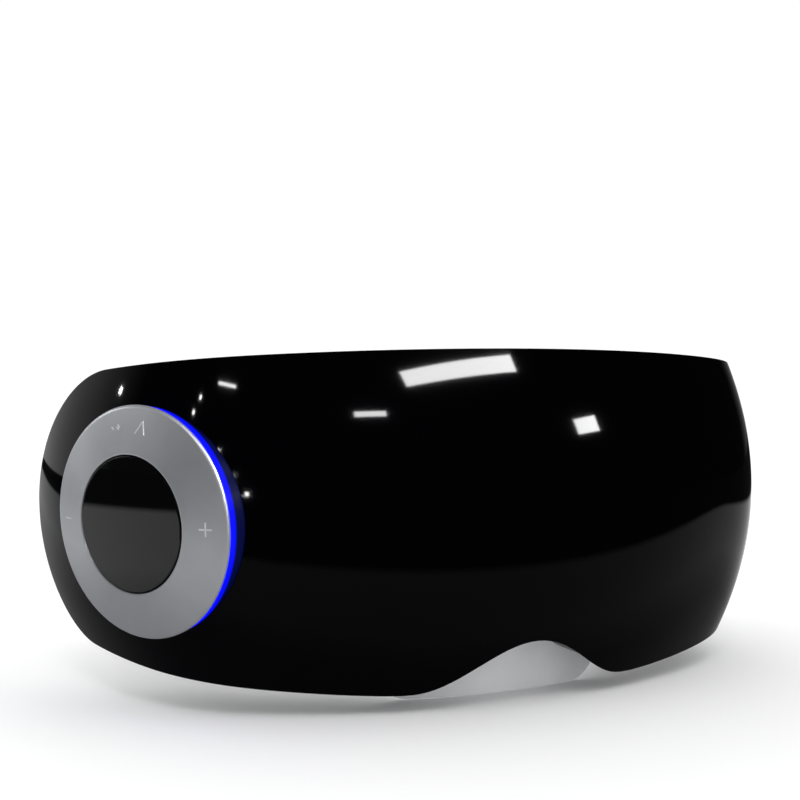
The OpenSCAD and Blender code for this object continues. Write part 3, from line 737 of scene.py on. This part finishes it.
# %% Soft synthetic leather
leather = finish("grey_soft_leather", (0.15, 0.155, 0.165), 0.5, Specular_IOR_Level=0.12,
                 Sheen_Weight=0.1, Sheen_Roughness=0.4)
drift(leather, (0.14, 0.145, 0.155), (0.18, 0.185, 0.195), 30)
wander(leather, 0.44, 0.58, 120)
co = node(leather, "TexCoord")
cells = node(leather, "TexVoronoi", feature="DISTANCE_TO_EDGE", Scale=1100.0)
fine = node(leather, "TexNoise", Scale=2600.0, Detail=3.0)
folds = node(leather, "TexNoise", Scale=160.0, Detail=4.0)
for t in (cells, fine, folds):
    wire(leather, co, "Object", t, "Vector")
a = pressed(leather, cells, "Distance", 0.10, 0.6)
b = pressed(leather, fine, "Fac", 0.03, 0.5, over=a)
pressed(leather, folds, "Fac", 0.25, 0.35, over=b)
dress(cushion, leather)
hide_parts("face_cushion")
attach(cushion, "mask")

# %% [markdown]
# A piping cord covers the seam round the cushion's side. It is a round bar swept along the
# cushion's outline at half its thickness; the outline comes from the same curves as the visor.

# %% Cushion piping
CUSHION_L, CUSHION_END = VISOR_L - 34, 14.0


def end_round(s):
    past = max(0, abs(s) - CUSHION_L + CUSHION_END) / CUSHION_END
    return 1 - 0.45 * (1 - math.sqrt(max(0, 1 - past ** 2)))


def cushion_edge(s, top):
    low, high = low_edge(s) + 2.3, top_edge(s) - 2.3
    mid = (low + high) / 2
    return face_z(mid + ((high if top else low) - mid) * end_round(s))


def swept(name, path, radius_mm, sides=10):
    """A round bar along a closed path of points in mm."""
    path = [Vector(p) for p in path]
    n = len(path)
    points, faces = [], []
    for i, p in enumerate(path):
        along = (path[(i + 1) % n] - path[i - 1]).normalized()
        out = Vector((p.x, p.y - FACE_R, 0)).normalized()
        across = along.cross(out).normalized()
        lift = across.cross(along).normalized()
        for k in range(sides):
            t = 2 * math.pi * k / sides
            points.append(p + radius_mm * (math.cos(t) * across + math.sin(t) * lift))
    for i in range(n):
        this, after = i * sides, (i + 1) % n * sides
        faces += [(this + k, after + k, after + (k + 1) % sides, this + (k + 1) % sides)
                  for k in range(sides)]
    return piece(name, points, faces, 60)


edge_s = stations(CUSHION_L - 0.3, 70)
PIPING_R = FACE_R + CUSHION_T - 1.6
ring_path = [face_point(face_angle(s), PIPING_R, cushion_edge(s, True)) for s in edge_s]
end_z = np.linspace(ring_path[-1][2], cushion_edge(edge_s[-1], False), 14)[1:-1]
ring_path += [face_point(face_angle(edge_s[-1]), PIPING_R, z) for z in end_z]
ring_path += [face_point(face_angle(s), PIPING_R, cushion_edge(s, False)) for s in reversed(edge_s)]
ring_path += [face_point(face_angle(edge_s[0]), PIPING_R, z) for z in reversed(end_z)]
piping = swept("cushion_piping", ring_path, 0.9)
piping_grey = moulded("piping_grey", (0.06, 0.062, 0.066), 0.55, grain_scale=1800, grain_mm=0.05)
dress(piping, piping_grey)
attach(piping, "mask")

# %% [markdown]
# The eye pads are soft silicone with a ring of massage knobs. In the engineering model the knobs
# are plain balls set in a plate. A copy is remeshed and relaxed so that each knob flows into the
# pad, as a moulded skin does.

# %% Eye pads
pad_silicone = moulded("pad_silicone", (0.06, 0.062, 0.068), 0.42, grain_scale=1200, grain_mm=0.015,
                       Specular_IOR_Level=0.2, Subsurface_Weight=0.05, Subsurface_Radius=SKIN_DEEP)
for side in ("left", "right"):
    pad = copy_of(f"{side}_eye_pad", f"{side}_massage_pad")
    modified(pad, "REMESH", mode="VOXEL", voxel_size=0.7 * MM, use_smooth_shade=True)
    modified(pad, "SMOOTH", factor=0.5, iterations=12)
    modified(pad, "SUBSURF", levels=1, render_levels=1)
    dress(pad, pad_silicone)
    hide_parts(f"{side}_eye_pad")
    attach(pad, f"{side}_pad")
    print(pad.name, len(pad.data.polygons), "faces")

# %% [markdown]
# The head strap is one woven elastic band with selvedges. It is modelled directly, as a band
# along the strap's route with a rounded section, and it carries its own UV map in metres along
# and across, so that the ribs of the weave follow the band round the head.

# %% Head strap's route
STRAP_W, STRAP_T, STRAP_RUN, STRAP_LEAN, STRAP_BACK_Y = 25.0, 1.6, 40.0, math.radians(8), 132.0


def bezier(a, b, c, d, t):
    return (1 - t) ** 3 * a + 3 * (1 - t) ** 2 * t * b + 3 * (1 - t) * t * t * c + t ** 3 * d


def lead(a, da, b, db, n):
    return [bezier(a, a + da, b + db, b, i / n) for i in range(n + 1)]


strap_in, strap_out = at_face(STRAP_A, REAR_R + 4, 0), at_face(STRAP_A, REAR_R - 1.2, 0)
strap_way = np.array([-math.sin(STRAP_LEAN), math.cos(STRAP_LEAN), 0])
strap_turn = strap_out + np.array([-3.2, 3.6, 0])
strap_end = strap_turn + STRAP_RUN * strap_way
half = [strap_in] + lead(strap_out, np.array([-1.4, 0.5, 0]), strap_turn, -2 * strap_way, 5)
half += [strap_turn + strap_way * STRAP_RUN * k / 16 for k in range(1, 16)]
half += lead(strap_end, 22 * strap_way, np.array([0, STRAP_BACK_Y, 0]), np.array([38, 0, 0]), 48)
line = half + [np.array([-p[0], p[1], 0]) for p in reversed(half[:-1])]
steps = [0.0]
for p, q in zip(line, line[1:]):
    steps.append(steps[-1] + float(np.linalg.norm(q - p)))
print(f"strap is {steps[-1]:.0f} mm long")

# %% Head strap
section = []
for k in range(25):
    x = -1 + 2 * k / 24
    section.append((STRAP_W / 2 * x, STRAP_T / 2 * (1 - max(0, abs(x) - 0.94) / 0.06 * 0.55)))
loop = [(w, t) for w, t in section] + [(w, -t) for w, t in reversed(section)]
points, faces, n = [], [], len(loop)
for i, p in enumerate(line):
    d = line[min(len(line) - 1, i + 1)] - line[max(0, i - 1)]
    out = np.array([d[1], -d[0], 0]) / np.hypot(d[0], d[1])
    points += [p + t * out + np.array([0, 0, CROWN_Z + w]) for w, t in loop]
for i in range(len(line) - 1):
    this, after = i * n, (i + 1) * n
    faces += [(this + k, this + (k + 1) % n, after + (k + 1) % n, after + k) for k in range(n)]
faces += [tuple(range(n)), tuple(reversed(range((len(line) - 1) * n, len(line) * n)))]
mesh = bpy.data.meshes.new("elastic_strap")
mesh.from_pydata([tuple(p * MM) for p in points], [], faces)
uv = mesh.uv_layers.new(name="weave")
for poly in mesh.polygons:
    for li in poly.loop_indices:
        v = mesh.loops[li].vertex_index
        uv.data[li].uv = (loop[v % n][0] * MM + 0.0125, steps[v // n] * MM)
strap = bpy.data.objects.new("elastic_strap", mesh)
bpy.context.collection.objects.link(strap)
pick(strap)
bpy.ops.object.mode_set(mode="EDIT")
bpy.ops.mesh.select_all(action="SELECT")
bpy.ops.mesh.normals_make_consistent(inside=False)
bpy.ops.object.mode_set(mode="OBJECT")
bpy.ops.object.shade_smooth_by_angle(angle=math.radians(50))

# %% Woven elastic
elastic = finish("woven_elastic", (0.02, 0.021, 0.024), 0.75, Sheen_Weight=0.35, Sheen_Roughness=0.5)
co = node(elastic, "UVMap", uv_map="weave")
ribs = node(elastic, "TexWave", bands_direction="X", Scale=160.0, Distortion=0.6, Detail=1.0)
picks = node(elastic, "TexWave", bands_direction="Y", Scale=300.0, Distortion=0.4, Detail=1.0)
fuzz = node(elastic, "TexNoise", Scale=4000.0, Detail=2.0)
for t in (ribs, picks, fuzz):
    wire(elastic, co, "UV", t, "Vector")
a = pressed(elastic, ribs, "Fac", 0.22, 0.8)
b = pressed(elastic, picks, "Fac", 0.12, 0.7, over=a)
pressed(elastic, fuzz, "Fac", 0.05, 0.6, over=b)
tone = two_tones(elastic, (0.010, 0.010, 0.012), (0.05, 0.052, 0.058))
wire(elastic, picks, "Fac", tone, "Fac")
wire(elastic, tone, "Color", bsdf_of(elastic), "Base Color")
dress(strap, elastic)
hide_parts("head_strap")
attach(strap, "mask")

# %% [markdown]
# The slider and the charging port are hard parts whose shapes are right. The slider's copy only
# gets the small edge radius that moulding leaves, and the port only its finish.

# %% Slider and port
def eased(cad_name, new_name, width_mm, mat, body):
    obj = copy_of(cad_name, new_name)
    modified(obj, "DECIMATE", decimate_type="DISSOLVE", angle_limit=math.radians(2))
    rounded(obj, width_mm, 3, 35)
    tidy(obj, 35)
    dress(obj, mat)
    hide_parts(cad_name)
    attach(obj, body)
    return obj


satin_black = moulded("satin_black", (0.018, 0.018, 0.02), 0.38)
stamped_steel = finish("stamped_steel", (0.56, 0.56, 0.56), 0.3, 1.0)
wander(stamped_steel, 0.24, 0.4, 400)
grain(stamped_steel, 2400, 0.004)
eased("strap_slider", "strap_slider_buckle", 0.45, satin_black, "slider")
dress_cad(stamped_steel, "usb_port")

# %% [markdown]
# The housing's screws are domed steel with a cross recess. A function makes one, and a loop sets
# one at each of the ten places, with its own mesh each time.

# %% Housing screws
SCREW_SIDES = 32
SCREW_SECTION = [(0, 1.25), (0.9, 1.22), (1.7, 1.02), (2.1, 0.7), (2.2, 0.35), (2.15, 0.1), (1.2, 0.1),
                 (1.2, -6), (0, -6)]


def screw_at(angle_deg, z):
    """A screw with a domed head and a cross in it, on the housing's rear wall."""
    a = math.radians(angle_deg)
    out = Vector((-math.sin(a), math.cos(a), 0))
    base = Vector(at_face(angle_deg, REAR_R, z))
    turn = out.to_track_quat("Z", "Y").to_matrix()
    points, faces, m = [], [], len(SCREW_SECTION)
    for k in range(SCREW_SIDES):
        t = 2 * math.pi * k / SCREW_SIDES
        points += [base + turn @ Vector((r * math.cos(t), r * math.sin(t), h)) for r, h in SCREW_SECTION]
        q = (k + 1) % SCREW_SIDES
        faces += [(k * m + j, q * m + j, q * m + j + 1, k * m + j + 1) for j in range(m - 1)]
    screw = piece("screw", points, faces, 30)
    deselect()
    arms = []
    for t in (0, math.pi / 2):
        bpy.ops.mesh.primitive_cube_add(size=1, location=tuple((base + out * 1.3) * MM),
                                        rotation=(turn @ Matrix.Rotation(t, 3, "Z")).to_euler())
        bpy.context.object.scale = (2.5 * MM, 0.45 * MM, 1.4 * MM)
        bpy.ops.object.transform_apply()
        arms.append(bpy.context.object)
    for arm in arms:
        cut(screw, arm)
    return screw


screws = joined("housing_screw_set", [screw_at(side * a, z) for side in (-1, 1) for a, z in SCREWS])
screw_steel = finish("zinc_steel", (0.52, 0.53, 0.55), 0.32, 1.0)
wander(screw_steel, 0.25, 0.42, 900)
grain(screw_steel, 3000, 0.004)
dress(screws, screw_steel)
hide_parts("housing_screws")
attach(screws, "mask")
print("screws:", len(screws.data.polygons), "faces")

# %% [markdown]
# Everything sealed inside keeps its engineering shape and gets the finish of the real part: green
# circuit boards, black chips, a foil battery, drawn steel motor cans, milky silicone air tubes and
# amber heating film.

# %% Finishes of the parts inside
board_green = moulded("board_green", (0.02, 0.12, 0.05), 0.35, grain_scale=500, grain_mm=0.03)
dress_cad(board_green, "main_board", "charging_board", "dial_board", "led_ring_board")
chip_black = moulded("chip_black", (0.02, 0.02, 0.022), 0.5)
dress_cad(chip_black, "board_chips")
foil = finish("battery_foil", (0.6, 0.61, 0.63), 0.34, 1.0)
wander(foil, 0.25, 0.45, 120)
grain(foil, 160, 0.12)
dress_cad(foil, "battery")
drawn_steel = finish("drawn_steel", (0.5, 0.5, 0.51), 0.3, 1.0)
wander(drawn_steel, 0.22, 0.4, 200)
grain(drawn_steel, 1200, 0.01)
dress_cad(drawn_steel, "pump_motor", "left_vibration_motor", "right_vibration_motor", "valve_body")
sintered = finish("sintered_weight", (0.3, 0.29, 0.27), 0.55, 1.0)
grain(sintered, 2200, 0.03)
dress_cad(sintered, "left_vibration_weight", "right_vibration_weight")
brass = finish("turned_brass", (0.72, 0.5, 0.2), 0.25, 1.0)
wander(brass, 0.2, 0.36, 500)
dress_cad(brass, "valve_plunger")
dress_cad(screw_steel, "dial_screws")

# %% Finishes of plastics, rubbers and films inside
dress_cad(satin_black, "dial_base", "ring_carrier", "tilt_ring", "switch_plunger", "left_strap_clip",
          "right_strap_clip")
white_plastic = moulded("white_plastic", (0.74, 0.73, 0.69), 0.4)
dress_cad(white_plastic, "button_guide", "pump_crank")
cream_plastic = moulded("cream_plastic", (0.6, 0.56, 0.45), 0.42)
dress_cad(cream_plastic, "ring_switches", "centre_switch")
led_white = moulded("led_white", (0.85, 0.85, 0.8), 0.25)
dress_cad(led_white, "dial_leds")
pump_black = moulded("pump_black", (0.03, 0.04, 0.055), 0.4)
dress_cad(pump_black, "pump_head")
dark_rubber = moulded("dark_rubber", (0.03, 0.03, 0.03), 0.7, grain_scale=900, grain_mm=0.04)
dress_cad(dark_rubber, "pump_diaphragm")
milky_silicone = moulded("milky_silicone", (0.68, 0.71, 0.74), 0.35, Subsurface_Weight=0.1,
                         Subsurface_Radius=SKIN_DEEP)
dress_cad(milky_silicone, "air_tubes", "left_airbag", "right_airbag")
amber_film = finish("amber_film", (0.5, 0.2, 0.03), 0.28)
co = node(amber_film, "TexCoord")
traces = node(amber_film, "TexWave", bands_direction="Z", Scale=130.0, Distortion=2.0)
wire(amber_film, co, "Object", traces, "Vector")
tone = two_tones(amber_film, (0.5, 0.2, 0.03), (0.75, 0.38, 0.14))
tone.color_ramp.interpolation = "CONSTANT"
wire(amber_film, traces, "Fac", tone, "Fac")
wire(amber_film, tone, "Color", bsdf_of(amber_film), "Base Color")
pressed(amber_film, traces, "Fac", 0.02, 0.5)
dress_cad(amber_film, "left_heating_film", "right_heating_film")
cone_black = moulded("speaker_cone", (0.035, 0.035, 0.04), 0.6, grain_scale=700, grain_mm=0.05)
dress_cad(cone_black, "left_speaker", "right_speaker")

# %% [markdown]
# The studio is a white floor under a white sky. Piano black is drawn only by what it reflects, and
# a white room turns it grey. So the floor and the sky look one way to the camera and another to a
# reflection: the floor is bright only in a pool round the mask, and the sky is dark in front and
# dimmer on the right, as a photographer's flags make them. A few small strong lamps put the
# highlights in. They light no matt surface: only the gloss sees them.

# %% Floor
low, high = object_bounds()
deselect()
bpy.ops.mesh.primitive_plane_add(size=14, location=(0, 2, low.z - 0.0003))
bpy.ops.object.transform_apply()
floor = bpy.context.object
floor.name = "floor"
floor_white = finish("floor_white", (0.93, 0.93, 0.93), 0.9)
matt = node(floor_white, "BsdfDiffuse")
wire(floor_white, matt, "BSDF", floor_white.node_tree.nodes["Material Output"], "Surface")
path, co = node(floor_white, "LightPath"), node(floor_white, "TexCoord")
front_only = node(floor_white, "VectorMath", operation="MINIMUM")
front_only.inputs[1].default_value = (9, 0, 0)
squeezed = node(floor_white, "VectorMath", operation="MULTIPLY")
squeezed.inputs[1].default_value = (1, 4.4, 0)
away = node(floor_white, "VectorMath", operation="LENGTH")
wire(floor_white, co, "Object", front_only, 0)
wire(floor_white, front_only, "Vector", squeezed, 0)
wire(floor_white, squeezed, "Vector", away, 0)
pool = node(floor_white, "ValToRGB")
for place, level in ((0.13, 0.4), (0.21, 0.75), (0.48, 0.75), (0.55, 0.02)):
    stop = pool.color_ramp.elements.new(place)
    stop.color = (level, level, level, 1)
pool.color_ramp.elements.remove(pool.color_ramp.elements[0])
pool.color_ramp.elements.remove(pool.color_ramp.elements[-1])
wire(floor_white, away, "Value", pool, "Fac")
tone = node(floor_white, "Mix", data_type="RGBA")
tone.inputs[6].default_value = (0.97, 0.97, 0.97, 1)
wire(floor_white, path, "Is Glossy Ray", tone, 0)
wire(floor_white, pool, "Color", tone, 7)
wire(floor_white, tone, 2, matt, "Color")
dress(floor, floor_white)
floor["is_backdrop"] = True

# %% Sky and backdrop
world = bpy.data.worlds.new("studio")
bpy.context.scene.world = world
world.use_nodes = True
tree = world.node_tree
sky = tree.nodes["Background"]
path, co = tree.nodes.new("ShaderNodeLightPath"), tree.nodes.new("ShaderNodeTexCoord")
split, behind = tree.nodes.new("ShaderNodeSeparateXYZ"), tree.nodes.new("ShaderNodeMapRange")
level = tree.nodes.new("ShaderNodeMix")
behind.inputs["From Min"].default_value, behind.inputs["From Max"].default_value = 0.35, 0.75
behind.inputs["To Min"].default_value, behind.inputs["To Max"].default_value = 0.03, 0.95
one_side, dimmed = tree.nodes.new("ShaderNodeMapRange"), tree.nodes.new("ShaderNodeMath")
one_side.inputs["From Min"].default_value, one_side.inputs["From Max"].default_value = 0.0, 0.5
one_side.inputs["To Min"].default_value, one_side.inputs["To Max"].default_value = 1.0, 0.3
dimmed.operation = "MULTIPLY"
level.inputs[2].default_value = 1.05
tree.links.new(co.outputs["Generated"], split.inputs[0])
tree.links.new(split.outputs["Y"], behind.inputs["Value"])
tree.links.new(path.outputs["Is Glossy Ray"], level.inputs["Factor"])
tree.links.new(split.outputs["X"], one_side.inputs["Value"])
tree.links.new(behind.outputs["Result"], dimmed.inputs[0])
tree.links.new(one_side.outputs["Result"], dimmed.inputs[1])
tree.links.new(dimmed.outputs[0], level.inputs[3])
tree.links.new(level.outputs[0], sky.inputs["Strength"])
sky.inputs["Color"].default_value = (1, 1, 1, 1)


# %% Lamps
def lamp(name, place, radiance, width, height=None, gloss_only=True):
    """A rectangle of light aimed at the mask, by how bright it looks."""
    height = height or width
    data = bpy.data.lights.new(name, "AREA")
    data.shape, data.size, data.size_y = "RECTANGLE", width, height
    data.energy = radiance * math.pi * width * height
    obj = bpy.data.objects.new(name, data)
    bpy.context.collection.objects.link(obj)
    obj.location = place
    obj.rotation_mode = "QUATERNION"
    obj.rotation_quaternion = (-Vector(place)).to_track_quat("-Z", "Y")
    obj.visible_diffuse = not gloss_only
    return obj


lamp("window", (0.26, -0.90, 0.79), 240, 0.56, 0.1)
lamp("panel_right", (0.82, -0.83, 0.41), 220, 0.13, 0.09)
lamp("strip_left", (-0.20, -1.06, 0.60), 220, 0.15, 0.035)
lamp("spark_1", (-0.835, -0.60, 0.744), 300, 0.18, 0.02)
sparks = [(-0.98, 0.71, 0.44), (-1.03, -0.4, 0.65), (-1.09, -0.37, 0.56),
          (-0.97, -0.73, 0.36), (-0.89, -0.87, 0.2), (-0.82, -0.95, 0.08)]
for i, place in enumerate(sparks):
    lamp(f"spark_{i + 2}", place, 400, 0.028)
key = lamp("key", (-0.5, -1.1, 1.3), 6, 0.5, gloss_only=False)
rim = lamp("rim", (0.3, 1.3, 1.1), 1.5, 0.6, gloss_only=False)
key.visible_glossy = rim.visible_glossy = False

# %% Camera
cam_data = bpy.data.cameras.new("camera")
cam_data.sensor_width, cam_data.lens = 36, 61.2
cam_data.shift_x, cam_data.shift_y = 0.005, 0.156
cam_data.clip_start, cam_data.clip_end = 0.01, 50
camera = bpy.data.objects.new("camera", cam_data)
bpy.context.collection.objects.link(camera)
cam_a, cam_e = math.radians(25.7), math.radians(6.35)
back = Vector((-math.sin(cam_a) * math.cos(cam_e), -math.cos(cam_a) * math.cos(cam_e), math.sin(cam_e)))
right = Vector((math.cos(cam_a), -math.sin(cam_a), 0))
up = back.cross(right)
camera.location = (Vector((0, 9, 0)) + 357 * back - 17.73 * right - 3.57 * up) * MM
camera.rotation_mode = "QUATERNION"
camera.rotation_quaternion = Matrix((right, up, back)).transposed().to_quaternion()
bpy.context.scene.camera = camera
bpy.context.scene.view_settings.view_transform = "Standard"

# %% Compare the sizes and finish
low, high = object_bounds()
off = max(abs(a - b) for a, b in zip([*cad_low, *cad_high], [*low, *high]))
print("largest difference in mm:", round(off / MM, 2))
